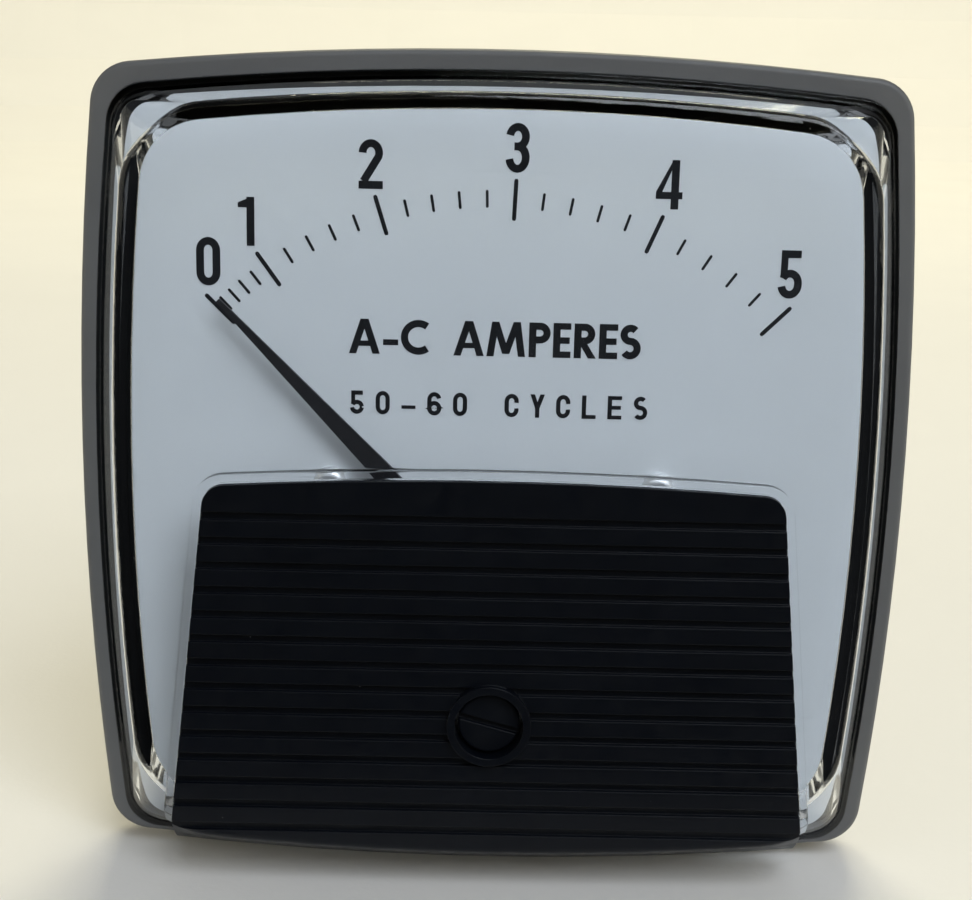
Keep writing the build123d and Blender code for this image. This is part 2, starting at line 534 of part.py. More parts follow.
def damping_vane():
    wing = sector(VANE_RADIUS, HUB_RADIUS - HUB_OVERLAP, VANE_HALF_ANGLE, 180)
    vane = slab(wing + (Circle(HUB_RADIUS) - Circle(STAFF_RADIUS)), VANE_FRONT, VANE_FRONT + VANE_THICKNESS)
    return on_pivot(vane - rod(STAFF_RADIUS, VANE_FRONT - BEYOND, VANE_FRONT + BEYOND), REST_ANGLE)


def moving_vane():
    shell = slab(sector(MOVING_VANE_OUTER, MOVING_VANE_INNER, MOVING_VANE_ANGLE / 2, 0), *VANE_ENDS)
    web = slab(sector(MOVING_VANE_INNER + VANE_WEB_OVERLAP, STAFF_RADIUS, MOVING_VANE_ANGLE / 4, 0),
               *VANE_WEB)
    collar = ring(VANE_COLLAR, STAFF_RADIUS, *VANE_WEB)
    return on_pivot(shell + web + collar, REST_ANGLE)


# ---- coil and damping magnets ----

def fixed_vane():
    return on_pivot(slab(sector(BOBBIN_BORE, FIXED_VANE_INNER, FIXED_VANE_ANGLE / 2, REST_ANGLE), *VANE_ENDS))


def coil_bobbin():
    bobbin = ring(BOBBIN_TUBE, BOBBIN_BORE, FRAME_REAR, BOBBIN_REAR)
    for front in (FRAME_REAR, BOBBIN_REAR - FLANGE_SHEET):
        bobbin += ring(BOBBIN_FLANGE, BOBBIN_BORE, front, front + FLANGE_SHEET)
    return on_pivot(bobbin)


def field_coil():
    return on_pivot(ring(COIL_RADIUS, BOBBIN_TUBE, FRAME_REAR + FLANGE_SHEET, BOBBIN_REAR - FLANGE_SHEET))


def coil_clamp_washer():
    return on_pivot(ring(CLAMP_WASHER_OUTER, CLAMP_WASHER_INNER, BOBBIN_REAR, REAR_BRIDGE_FRONT))


def damping_magnets():
    sides, heights = (-MAGNET_HALF_WIDTH, MAGNET_HALF_WIDTH), (-MAGNET_FOOT, -MAGNET_TOP)
    return on_pivot(block(sides, heights, *MAGNET_FRONT) + block(sides, heights, *MAGNET_BACK))


def magnet_yoke():
    sides = (-YOKE_HALF_WIDTH, YOKE_HALF_WIDTH)
    front = MAGNET_FRONT[0] - YOKE_THICKNESS
    arm = block(sides, (-YOKE_FOOT, -YOKE_TOP), front, MAGNET_FRONT[0])
    return on_pivot(arm + block(sides, (-YOKE_FOOT, YOKE_THICKNESS - YOKE_FOOT), front, FRAME_FRONT))


# ---- terminals and leads ----

LUG_REAR = BARREL_LENGTH - REAR_WALL
LUG_FRONT = LUG_REAR - LUG_THICKNESS
HEAD_FRONT = LUG_FRONT - TERMINAL_HEAD_HEIGHT
NUT_FRONT = BARREL_LENGTH + WASHER_THICKNESS
NUT_REAR = NUT_FRONT + TERMINAL_NUT_HEIGHT


def terminal_studs():
    def stud(x, z):
        head = slab(Pos(x, z) * RegularPolygon(TERMINAL_HEAD_ACROSS_FLATS / 2, 6, major_radius=False),
                    HEAD_FRONT, LUG_FRONT)
        neck = rod(TERMINAL_NECK, LUG_FRONT, NUT_REAR, x, z)
        thread = rod(TERMINAL_RADIUS, NUT_REAR, BARREL_LENGTH + TERMINAL_LENGTH, x, z)
        return head + neck + chamfer(thread.edges().sort_by(Axis.Y)[-1], TERMINAL_POINT)

    return pair(stud, TERMINAL_X, 0)


def terminal_washers():
    return pair(lambda x, z: ring(WASHER_RADIUS, TERMINAL_NECK, BARREL_LENGTH, NUT_FRONT, x, z),
                TERMINAL_X, 0)


def terminal_nuts():
    return pair(lambda x, z: hexagon(TERMINAL_NUT_ACROSS_FLATS, TERMINAL_NECK, NUT_FRONT, NUT_REAR, x, z),
                TERMINAL_X, 0)


def terminal_lugs():
    def lug(x, z):
        tag = Pos(x, z) * Circle(LUG_RADIUS) + Pos(x, z + LUG_BARREL_Z / 2) * Rectangle(
            2 * LUG_BARREL_RADIUS, LUG_BARREL_Z + 2 * LUG_BARREL_RADIUS)
        plate = slab(tag - Pos(x, z) * Circle(TERMINAL_NECK), LUG_FRONT, LUG_REAR)
        barrel = ring(LUG_BARREL_RADIUS, LEAD_RADIUS, LUG_FRONT - LUG_BARREL_LENGTH, LUG_FRONT,
                      x, z + LUG_BARREL_Z)
        return plate + barrel

    return pair(lug, TERMINAL_X, 0)


def coil_lead(side):
    """Insulated wire from the top of the coil to the crimp of one terminal lug."""
    start_z = PIVOT_Z + (COIL_RADIUS ** 2 - LEAD_START_X ** 2) ** 0.5
    route = [(side * LEAD_START_X, LEAD_START_Y, start_z),
             (side * LEAD_START_X, LEAD_START_Y, LUG_BARREL_Z + LEAD_RISE),
             (side * TERMINAL_X, LEAD_TURN_Y, LUG_BARREL_Z),
             (side * TERMINAL_X, LUG_FRONT, LUG_BARREL_Z)]
    path = FilletPolyline(*route, radius=[LEAD_BEND, LEAD_BEND])
    section = Plane(origin=path @ 0, z_dir=path % 0) * Circle(LEAD_RADIUS)
    return sweep(section, path=path) - field_coil()


def build_all():
    return {
        "base_housing": base_housing(),
        "clear_cover": clear_cover(),
        "lower_mask": lower_mask(),
        "cover_gasket": cover_gasket(),
        "dial_plate": dial_plate(),
        "dial_screws": dial_screws(),
        "movement_frame": movement_frame(),
        "movement_screws": movement_screws(),
        "front_bridge": front_bridge(),
        "front_bridge_screws": bridge_screws(),
        "rear_bridge": rear_bridge(),
        "rear_bridge_screws": rear_bridge_screws(),
        "frame_pillars": frame_pillars(),
        "pointer_stops": pointer_stops(),
        "front_jewel": jewel(JEWEL_FRONT_Y, -1),
        "rear_jewel": jewel(JEWEL_REAR_Y, 1),
        "front_jewel_screw": jewel_screw(JEWEL_FRONT_Y, -1),
        "rear_jewel_screw": jewel_screw(JEWEL_REAR_Y, 1),
        "front_locknut": locknut(BRIDGE_FRONT - LOCKNUT_HEIGHT),
        "rear_locknut": locknut(REAR_BRIDGE_REAR),
        "arm_retaining_ring": arm_retaining_ring(),
        "coil_bobbin": coil_bobbin(),
        "field_coil": field_coil(),
        "coil_clamp_washer": coil_clamp_washer(),
        "fixed_vane": fixed_vane(),
        "damping_magnets": damping_magnets(),
        "magnet_yoke": magnet_yoke(),
        "terminal_studs": terminal_studs(),
        "terminal_washers": terminal_washers(),
        "terminal_nuts": terminal_nuts(),
        "terminal_lugs": terminal_lugs(),
        "left_coil_lead": coil_lead(-1),
        "right_coil_lead": coil_lead(1),
        "mounting_studs": mounting_studs(),
        "zero_screw": zero_screw(),
        "zero_retainer": zero_retainer(),
        "zero_arm": zero_arm(),
        "hairspring": hairspring(),
        "spring_stud": spring_stud(),
        "staff": staff(),
        "spring_collet": spring_collet(),
        "pointer": pointer(),
        "balance_cross": balance_cross(),
        "balance_weights": balance_weights(),
        "damping_vane": damping_vane(),
        "moving_vane": moving_vane(),
    }


os.makedirs("parts", exist_ok=True)
for name, shape in build_all().items():
    export_step(shape, f"parts/{name}.step")
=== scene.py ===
import json
import math

import bmesh
import bpy
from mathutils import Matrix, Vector
from mathutils.geometry import delaunay_2d_cdt


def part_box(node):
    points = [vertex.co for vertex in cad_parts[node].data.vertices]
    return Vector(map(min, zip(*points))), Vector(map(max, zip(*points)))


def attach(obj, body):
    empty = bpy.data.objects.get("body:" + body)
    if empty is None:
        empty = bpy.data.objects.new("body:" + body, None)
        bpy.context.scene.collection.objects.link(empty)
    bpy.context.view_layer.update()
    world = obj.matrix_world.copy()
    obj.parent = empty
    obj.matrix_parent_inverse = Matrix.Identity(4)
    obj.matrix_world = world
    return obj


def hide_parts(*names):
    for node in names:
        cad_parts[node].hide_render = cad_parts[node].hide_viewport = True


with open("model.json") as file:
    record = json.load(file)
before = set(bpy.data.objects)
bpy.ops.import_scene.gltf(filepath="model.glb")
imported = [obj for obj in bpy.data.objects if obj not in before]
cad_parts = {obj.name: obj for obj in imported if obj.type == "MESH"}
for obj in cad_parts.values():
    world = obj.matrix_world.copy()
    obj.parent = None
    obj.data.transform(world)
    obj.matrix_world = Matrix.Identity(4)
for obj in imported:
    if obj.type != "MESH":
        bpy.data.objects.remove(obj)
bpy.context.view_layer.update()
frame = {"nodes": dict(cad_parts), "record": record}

# Lengths in this script are in millimetres until a mesh, light or camera is made.
MM = 0.001

# Where the CAD model has its faces and its axis of motion
DIAL_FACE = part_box("dial_plate")[0].y / MM
PIVOT_Z = -8.5
FLOOR_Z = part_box("base_housing")[0].z / MM


# ---- camera, light and stage ----

def add_camera():
    data = bpy.data.cameras.new("camera")
    data.lens = 62.96
    data.sensor_width = 36.0
    data.clip_start = 0.01
    camera = bpy.data.objects.new("camera", data)
    camera.location = Vector((-1.6, -155.65, 39.28)) * MM
    camera.rotation_euler = [math.radians(a) for a in (76.356, -1.298, -0.003)]
    bpy.context.collection.objects.link(camera)
    bpy.context.scene.camera = camera


def add_softbox(name, place, target, size, power, colour):
    """Square area light of one side length, aimed at a point."""
    data = bpy.data.lights.new(name, "AREA")
    data.size = size
    data.energy = power
    data.color = colour
    light = bpy.data.objects.new(name, data)
    light.location = place
    light.rotation_euler = (Vector(target) - Vector(place)).to_track_quat("-Z", "Y").to_euler()
    bpy.context.collection.objects.link(light)


def add_world():
    world = bpy.data.worlds.new("studio")
    world.use_nodes = True
    background = world.node_tree.nodes["Background"]
    background.inputs["Color"].default_value = (0.86, 0.92, 1.0, 1.0)
    background.inputs["Strength"].default_value = 0.06
    bpy.context.scene.world = world
    bpy.context.scene.view_settings.view_transform = "Standard"


def add_lights():
    add_softbox("back_softbox", (0.10, 0.95, 1.15), (0, 0, 0), 0.7, 14.0, (1.0, 0.94, 0.68))
    add_softbox("front_softbox", (0.40, -0.85, 0.95), (0, 0, 0), 0.8, 10.3, (0.86, 0.92, 1.0))


def add_black_flag():
    """Dark cards in front, far behind the lens and behind the meter; only reflections see them."""
    near, far, side, low, high = -0.03, -0.85, 0.8, FLOOR_Z * MM + 0.001, 0.5
    behind, foot, top = 0.5, 0.03, 0.75
    spans = (((near, low), (far, low)), ((far, low), (far, high)), ((behind, foot), (behind, top)))
    build = bmesh.new()
    for span in spans:
        corners = [(-side, *span[0]), (side, *span[0]), (side, *span[1]), (-side, *span[1])]
        build.faces.new([build.verts.new(corner) for corner in corners])
    mesh = bpy.data.meshes.new("black_flag")
    build.to_mesh(mesh)
    build.free()
    flag = make_object("black_flag", mesh, flag_paint())
    flag.visible_camera = False
    flag.visible_diffuse = False
    flag.visible_shadow = False


def add_stage():
    """Round floor that curves up into a low wall all round."""
    flat, curve, wall, steps, around = 0.9, 0.5, 0.5, 10, 96
    profile = [(0.2, 0.0), (flat, 0.0)]
    for i in range(1, steps + 1):
        turn = math.radians(90 * i / steps)
        profile.append((flat + curve * math.sin(turn), curve * (1 - math.cos(turn))))
    profile.append((flat + curve, curve + wall))
    rings = [[(r * math.cos(a), r * math.sin(a), FLOOR_Z * MM + h) for a in turns(around)]
             for r, h in profile]
    mesh = rings_to_mesh("stage_floor", rings, close_start=True)
    floor = make_object("stage_floor", mesh, stage_paint())


# ---- materials ----

class Paint:
    """A material whose nodes are added one by one, each joined as it is made."""

    def __init__(self, name, colour, roughness, **values):
        self.material = bpy.data.materials.new(name)
        self.material.use_nodes = True
        self.tree = self.material.node_tree
        self.shader = self.tree.nodes["Principled BSDF"]
        self.place = self.add("ShaderNodeTexCoord").outputs["Object"]
        self.connect(self.shader, {"Base Color": (*colour, 1.0), "Roughness": roughness, **values})

    def connect(self, node, inputs):
        for name, value in inputs.items():
            if isinstance(value, bpy.types.NodeSocket):
                self.tree.links.new(value, node.inputs[name])
            else:
                node.inputs[name].default_value = value

    def add(self, kind, inputs=None, **settings):
        node = self.tree.nodes.new(kind)
        for name, value in settings.items():
            setattr(node, name, value)
        self.connect(node, inputs or {})
        return node

    def stretched(self, scale, turn=(0, 0, 0)):
        """Coordinates stretched by scale along each axis, after a turn in degrees."""
        turned = [math.radians(a) for a in turn]
        return self.add("ShaderNodeMapping", {"Vector": self.place, "Rotation": turned,
                                              "Scale": scale}).outputs["Vector"]

    def noise(self, size, detail=2.0, place=None):
        """Soft noise from 0 to 1 whose blobs are about size millimetres."""
        inputs = {"Vector": place or self.place, "Scale": 1 / (size * MM), "Detail": detail}
        return self.add("ShaderNodeTexNoise", inputs).outputs["Fac"]

    def maths(self, operation, first, second=0.0):
        node = self.add("ShaderNodeMath", operation=operation)
        for socket, value in zip(node.inputs, (first, second)):
            if isinstance(value, bpy.types.NodeSocket):
                self.tree.links.new(value, socket)
            else:
                socket.default_value = value
        return node.outputs[0]

    def spread(self, value, low, high, to_low=0.0, to_high=1.0):
        """Value moved from the span low to high onto another span, and held inside it."""
        inputs = {"Value": value, "From Min": low, "From Max": high,
                  "To Min": to_low, "To Max": to_high}
        return self.add("ShaderNodeMapRange", inputs).outputs["Result"]

    def specks(self, cell, size, share, place=None):
        """1 on small dots, one at most in each cell of millimetres, in that share of the cells."""
        voronoi = self.add("ShaderNodeTexVoronoi",
                           {"Vector": place or self.place, "Scale": 1 / (cell * MM)})
        dot = self.spread(voronoi.outputs["Distance"], size / cell, 0.5 * size / cell)
        chance = self.add("ShaderNodeSeparateColor", {"Color": voronoi.outputs["Color"]})
        chosen = self.maths("LESS_THAN", chance.outputs["Red"], share)
        return self.maths("MULTIPLY", dot, chosen)

    def blend(self, share, first, second):
        """Colour first where share is 0, and second where it is 1."""
        node = self.add("ShaderNodeMix", data_type="RGBA")
        for index, value in ((0, share), (6, first), (7, second)):
            if isinstance(value, bpy.types.NodeSocket):
                self.tree.links.new(value, node.inputs[index])
            elif index == 0:
                node.inputs[index].default_value = value
            else:
                node.inputs[index].default_value = (*value, 1.0)
        return node.outputs[2]

    def rounded(self, radius):
        """Normals as if each edge had this radius in millimetres."""
        return self.add("ShaderNodeBevel", {"Radius": radius * MM}, samples=6).outputs["Normal"]

    def bump(self, height, depth, normal=None):
        """Normals of a relief of that depth in millimetres."""
        inputs = {"Height": height, "Distance": depth * MM, "Strength": 1.0}
        if normal:
            inputs["Normal"] = normal
        return self.add("ShaderNodeBump", inputs).outputs["Normal"]

    def finish(self, **inputs):
        names = {"colour": "Base Color", "roughness": "Roughness", "normal": "Normal"}
        self.connect(self.shader, {names[key]: value for key, value in inputs.items()})
        return self.material


def stage_paint():
    paint = Paint("stage_paint", (0.83, 0.81, 0.78), 0.75)
    cloud = paint.noise(60.0, 3.0)
    colour = paint.blend(cloud, (0.81, 0.79, 0.76), (0.85, 0.83, 0.80))
    grain = paint.noise(0.6)
    return paint.finish(colour=colour, normal=paint.bump(grain, 0.02))


def flag_paint():
    return Paint("flag_paint", (0.01, 0.01, 0.01), 0.9).material


def base_plastic():
    paint = Paint("base_plastic", (0.13, 0.135, 0.15), 0.5)
    cloud = paint.noise(9.0, 3.0)
    grey = paint.blend(cloud, (0.095, 0.097, 0.102), (0.115, 0.118, 0.123))
    dust = paint.specks(2.2, 0.09, 0.30)
    scratch = paint.specks(4.5, 0.10, 0.25, paint.stretched((0.25, 1, 1), (0, 20, 0)))
    marks = paint.maths("MAXIMUM", dust, scratch)
    colour = paint.blend(paint.maths("MULTIPLY", marks, 0.55), grey, (0.42, 0.42, 0.42))
    roughness = paint.spread(paint.noise(2.5, 3.0), 0.3, 0.7, 0.40, 0.56)
    normal = paint.bump(paint.noise(0.16), 0.006, paint.rounded(0.25))
    return paint.finish(colour=colour, roughness=roughness, normal=normal)


def clear_plastic():
    """Clear acrylic with fine rubbed scratches; lamps shine through it."""
    paint = Paint("clear_plastic", (0.95, 0.97, 0.985), 0.02, IOR=1.49)
    paint.connect(paint.shader, {"Transmission Weight": 1.0})
    hairline = paint.specks(5.0, 0.05, 0.5, paint.stretched((1, 1, 0.12), (0, 35, 0)))
    dust = paint.specks(3.6, 0.08, 0.18)
    marks = paint.maths("MAXIMUM", hairline, dust)
    roughness = paint.maths("ADD", paint.spread(paint.noise(6.0), 0.3, 0.7, 0.01, 0.04),
                            paint.maths("MULTIPLY", marks, 0.35))
    normal = paint.bump(marks, 0.01, paint.rounded(0.2))
    material = paint.finish(roughness=roughness, normal=normal)
    path = paint.add("ShaderNodeLightPath").outputs["Is Shadow Ray"]
    through = paint.add("ShaderNodeBsdfTransparent", {"Color": (0.93, 0.95, 0.96, 1.0)})
    mixed = paint.add("ShaderNodeMixShader", {"Fac": path})
    paint.tree.links.new(paint.shader.outputs[0], mixed.inputs[1])
    paint.tree.links.new(through.outputs[0], mixed.inputs[2])
    output = paint.tree.nodes["Material Output"]
    paint.tree.links.new(mixed.outputs[0], output.inputs["Surface"])
    return material


def mask_plastic():
    paint = Paint("mask_plastic", (0.002, 0.003, 0.006), 0.35)
    paint.connect(paint.shader, {"Specular IOR Level": 0.25})
    cloud = paint.noise(5.0, 3.0)
    black = paint.blend(cloud, (0.0010, 0.0018, 0.0040), (0.0025, 0.0040, 0.0075))
    dust = paint.specks(2.4, 0.07, 0.22)
    scratch = paint.specks(6.0, 0.09, 0.35, paint.stretched((0.22, 1, 1), (0, -25, 0)))
    marks = paint.maths("MAXIMUM", dust, scratch)
    colour = paint.blend(paint.maths("MULTIPLY", marks, 0.5), black, (0.30, 0.31, 0.33))
    roughness = paint.spread(paint.noise(1.8, 3.0), 0.3, 0.7, 0.30, 0.46)
    normal = paint.bump(paint.noise(0.2), 0.004, paint.rounded(0.12))
    return paint.finish(colour=colour, roughness=roughness, normal=normal)


def dial_paint():
    """Baked enamel on the dial, with a faint orange-peel surface."""
    paint = Paint("dial_paint", (0.58, 0.62, 0.67), 0.5)
    cloud = paint.noise(12.0, 2.0)
    colour = paint.blend(cloud, (0.700, 0.715, 0.725), (0.735, 0.750, 0.760))
    fleck = paint.specks(2.8, 0.05, 0.10)
    colour = paint.blend(paint.maths("MULTIPLY", fleck, 0.25), colour, (0.30, 0.31, 0.33))
    roughness = paint.spread(paint.noise(3.0), 0.3, 0.7, 0.42, 0.55)
    return paint.finish(colour=colour, roughness=roughness, normal=paint.bump(paint.noise(0.5), 0.003))


def black_print():
    """Screen-printed ink of the dial, with a slightly uneven film."""
    paint = Paint("black_print", (0.003, 0.003, 0.005), 0.5)
    paint.connect(paint.shader, {"Specular IOR Level": 0.3})
    film = paint.noise(0.35, 3.0)
    colour = paint.blend(film, (0.002, 0.002, 0.004), (0.006, 0.007, 0.010))
    roughness = paint.spread(film, 0.3, 0.7, 0.42, 0.58)
    return paint.finish(colour=colour, roughness=roughness, normal=paint.bump(film, 0.004))


def black_rubber():
    paint = Paint("black_rubber", (0.012, 0.012, 0.013), 0.7)
    bloom = paint.noise(1.6, 4.0)
    colour = paint.blend(bloom, (0.008, 0.008, 0.009), (0.020, 0.020, 0.021))
    return paint.finish(colour=colour, normal=paint.bump(paint.noise(0.12), 0.01))


def worn_metal(name, colour, tarnish, roughness, grain=0.10, along=(1, 0.08, 1)):
    """Metal with a turned or drawn grain, slight tarnish and softened edges."""
    paint = Paint(name, colour, roughness, Metallic=1.0)
    patches = paint.spread(paint.noise(2.2, 4.0), 0.35, 0.75)
    shade = paint.blend(patches, colour, tarnish)
    lines = paint.noise(grain, 2.0, paint.stretched(along))
    shine = paint.spread(lines, 0.25, 0.75, 0.7 * roughness, 1.35 * roughness)
    normal = paint.bump(lines, 0.004, paint.rounded(0.06))
    return paint.finish(colour=shade, roughness=shine, normal=normal)


def bright_steel():
    return worn_metal("bright_steel", (0.74, 0.75, 0.76), (0.52, 0.52, 0.52), 0.26)


def nickel_plate():
    """Pale plating with a soft shine, as on the two domed screws of the dial."""
    return worn_metal("nickel_plate", (0.90, 0.90, 0.91), (0.80, 0.80, 0.80), 0.48)


def frame_aluminium():
    return worn_metal("frame_aluminium", (0.74, 0.75, 0.77), (0.60, 0.61, 0.63), 0.34,
                      0.14, (0.06, 1, 1))


def brass():
    return worn_metal("brass", (0.72, 0.50, 0.20), (0.42, 0.26, 0.10), 0.30)


def tinned_brass():
    return worn_metal("tinned_brass", (0.66, 0.60, 0.46), (0.44, 0.38, 0.27), 0.33)


def spring_bronze():
    return worn_metal("spring_bronze", (0.60, 0.38, 0.20), (0.40, 0.24, 0.13), 0.28, 0.08)


def magnet_alloy():
    return worn_metal("magnet_alloy", (0.30, 0.29, 0.28), (0.16, 0.15, 0.15), 0.55, 0.3, (1, 1, 1))


def pointer_aluminium():
    return worn_metal("pointer_aluminium", (0.78, 0.79, 0.80), (0.66, 0.67, 0.68), 0.38, 0.1, (1, 1, 1))


def pointer_paint():
    paint = Paint("pointer_paint", (0.008, 0.008, 0.010), 0.42)
    film = paint.noise(0.5, 3.0)
    colour = paint.blend(film, (0.005, 0.005, 0.007), (0.013, 0.013, 0.016))
    dust = paint.specks(1.5, 0.05, 0.12)
    colour = paint.blend(paint.maths("MULTIPLY", dust, 0.6), colour, (0.35, 0.35, 0.36))
    normal = paint.bump(film, 0.004, paint.rounded(0.05))
    return paint.finish(colour=colour, roughness=paint.spread(film, 0.3, 0.7, 0.34, 0.50), normal=normal)


def sapphire():
    """Deep red jewel of the bearings."""
    paint = Paint("sapphire", (0.45, 0.02, 0.05), 0.06, IOR=1.76)
    paint.connect(paint.shader, {"Transmission Weight": 0.5})
    cloud = paint.noise(0.5, 2.0)
    return paint.finish(colour=paint.blend(cloud, (0.38, 0.01, 0.04), (0.55, 0.03, 0.07)))


def moulded_plastic(name, dark, light, roughness):
    paint = Paint(name, light, roughness)
    colour = paint.blend(paint.noise(3.0, 3.0), dark, light)
    normal = paint.bump(paint.noise(0.18), 0.005, paint.rounded(0.1))
    return paint.finish(colour=colour, normal=normal)


def nylon():
    return moulded_plastic("nylon", (0.60, 0.57, 0.48), (0.72, 0.69, 0.60), 0.45)


def lead_insulation():
    return moulded_plastic("lead_insulation", (0.06, 0.06, 0.065), (0.09, 0.09, 0.095), 0.4)


def wound_copper():
    """Enamelled wire wound in even turns round the coil's axis, with painted shade in the grooves
    between turns.
    """
    wire = 0.9
    paint = Paint("wound_copper", (0.50, 0.20, 0.07), 0.3, Metallic=0.8)
    inputs = {"Vector": paint.place, "Scale": 0.1 / (wire * MM * math.pi)}
    turns_of_wire = paint.add("ShaderNodeTexWave", inputs, bands_direction="Y").outputs["Fac"]
    patches = paint.noise(2.0, 3.0)
    shade = paint.blend(patches, (0.42, 0.15, 0.05), (0.60, 0.27, 0.10))
    # The near-black colour in the valleys between turns is painted shade, not a colour of the wire.
    colour = paint.blend(paint.spread(turns_of_wire, 0.0, 0.35), (0.08, 0.03, 0.015), shade)
    return paint.finish(colour=colour, normal=paint.bump(turns_of_wire, 0.35 * wire))


FINISHES = {
    "base_plastic": base_plastic, "clear_plastic": clear_plastic, "mask_plastic": mask_plastic,
    "black_rubber": black_rubber, "dial_paint": dial_paint, "bright_steel": bright_steel,
    "frame_aluminium": frame_aluminium, "brass": brass, "tinned_brass": tinned_brass,
    "sapphire": sapphire, "nylon": nylon, "enamelled_copper": wound_copper,
    "magnet": magnet_alloy, "lead_insulation": lead_insulation, "spring_bronze": spring_bronze,
    "pointer_paint": pointer_paint, "pointer_aluminium": pointer_aluminium,
}


def paint_cad_nodes():
    """Give every CAD node the finish that its record names; the dial's screws are brighter."""
    finishes = {name: make() for name, make in FINISHES.items()}
    special = {"dial_screws": nickel_plate()}
    for part in frame["record"]["subparts"]:
        mesh = frame["nodes"][part["node"]].data
        mesh.materials.clear()
        mesh.materials.append(special.get(part["node"], finishes[part["material_slot"]]))
    return finishes


# ---- mesh helpers ----

def turns(count):
    """That many angles evenly round a circle."""
    return [2 * math.pi * i / count for i in range(count)]


def rings_to_mesh(name, rings, close_start=False, close_end=False, joined=False):
    """Skin over closed rings that have the same number of points."""
    build = bmesh.new()
    skin_rings(build, rings, close_start, close_end, joined)
    mesh = bpy.data.meshes.new(name)
    build.to_mesh(mesh)
    build.free()
    return mesh


def skin_rings(build, rings, close_start=False, close_end=False, joined=False):
    """Add quads between neighbouring rings; joined also joins the last ring to the first."""
    rows = [[build.verts.new(point) for point in ring] for ring in rings]
    pairs = list(zip(rows, rows[1:]))
    if joined:
        pairs.append((rows[-1], rows[0]))
    for low, high in pairs:
        for i, point in enumerate(low):
            after = (i + 1) % len(low)
            build.faces.new((point, low[after], high[after], high[i]))
    if close_start:
        build.faces.new(reversed(rows[0]))
    if close_end:
        build.faces.new(rows[-1])


def make_object(name, mesh, material):
    mesh.materials.append(material)
    piece = bpy.data.objects.new(name, mesh)
    bpy.context.collection.objects.link(piece)
    return piece


def solid_piece(name, build, material, body, sharp=35.0):
    """Turn a bmesh in metres into a smooth-shaded piece that rides on a body."""
    bmesh.ops.recalc_face_normals(build, faces=build.faces)
    for edge in build.edges:
        edge.smooth = edge.calc_face_angle(0.0) < math.radians(sharp)
    for face in build.faces:
        face.smooth = True
    mesh = bpy.data.meshes.new(name)
    build.to_mesh(mesh)
    build.free()
    piece = make_object(name, mesh, material)
    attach(piece, body)
    return piece


# ---- print on the dial: outlines in the dial's plane, x to the right and z up ----

def arc(x, z, across, up, start, end, steps=16):
    """Points on an ellipse, from one angle to another, counter-clockwise from the right."""
    angles = [math.radians(start + (end - start) * i / steps) for i in range(steps + 1)]
    return [(x + across * math.cos(a), z + up * math.sin(a)) for a in angles]


def bar(left, right, low, high):
    return [(left, low), (right, low), (right, high), (left, high)]


def leg(foot, top, width):
    """Slanting stroke whose two ends are cut level; foot and top are their middles."""
    half = width / 2
    return [(foot[0] - half, foot[1]), (foot[0] + half, foot[1]),
            (top[0] + half, top[1]), (top[0] - half, top[1])]


def band(points, width, closed=False):
    """Quads of constant width along a line, mitred where it turns."""
    line = [Vector(point) for point in points]
    count = len(line)
    sides = []
    for i, point in enumerate(line):
        steps = []
        if closed or i > 0:
            steps.append((point - line[i - 1]).normalized())
        if closed or i < count - 1:
            steps.append((line[(i + 1) % count] - point).normalized())
        along = sum(steps, Vector((0, 0))).normalized()
        across = Vector((-along.y, along.x)) * width / 2 / max(along.dot(steps[0]), 0.5)
        sides.append((point + across, point - across))
    pairs = list(zip(sides, sides[1:]))
    if closed:
        pairs.append((sides[-1], sides[0]))
    return [[a[0], b[0], b[1], a[1]] for a, b in pairs]


def bowl_size(width, height, stroke):
    """Half width and half height of a round end's middle line."""
    across = (width - stroke) / 2
    return across, min(1.15 * across, (height - stroke) / 2)


def glyph_0(w, h, s):
    across, up = bowl_size(w, h, s)
    path = arc(w / 2, h - s / 2 - up, across, up, 0, 180)
    return band(path + arc(w / 2, s / 2 + up, across, up, 180, 360), s, closed=True)


def glyph_1(w, h, s):
    flag = [(0, h - 1.35 * s), (0, h - 0.72 * s), (w - s, h - 0.25 * s), (w - s, h - 1.35 * s)]
    return [bar(w - s, w, 0, h), flag]


def glyph_2(w, h, s):
    across, up = bowl_size(w, h, s)
    path = arc(w / 2, h - s / 2 - up, across, up, 180, -25)
    path += [(s / 2 + 0.04 * w, s * 0.95)]
    return band(path, s) + [bar(0, w, 0, s)]


def glyph_3(w, h, s):
    across = (w - s) / 2
    waist = 0.53 * h
    upper, lower = (h - s / 2 - waist) / 2, (waist - s / 2) / 2
    top = arc(w / 2, waist + upper, across * 0.96, upper, 172, -90)
    foot = arc(w / 2, waist - lower, across, lower, 90, -172)
    return band(top, s) + band(foot, s) + [bar(0.36 * w, 0.52 * w, waist - s / 2, waist + s / 2)]


def glyph_4(w, h, s):
    stem, low = w - 0.14 * w - s, 0.21 * h
    high = low + 0.9 * s
    slope = [(0, low), (0, high), (stem + 0.15 * s, h), (stem + s, h),
             (stem, h - 1.3 * s), (0.8 * s, high)]
    return [bar(stem, stem + s, 0, h), bar(0, w, low, high), slope]


def glyph_5(w, h, s):
    across = (w - s) / 2
    up = min(1.2 * across, 0.31 * h - s / 2)
    middle = s / 2 + up
    bowl = arc(w / 2, 0.6 * h - s / 2 - up, across, up, 150, 0)
    bowl += arc(w / 2, middle, across, up, 0, -170)
    top = bar(0.10 * w, 0.92 * w, h - s, h)
    neck = bar(0.10 * w, 0.10 * w + 0.9 * s, 0.43 * h, h)
    return band(bowl, s) + [top, neck]


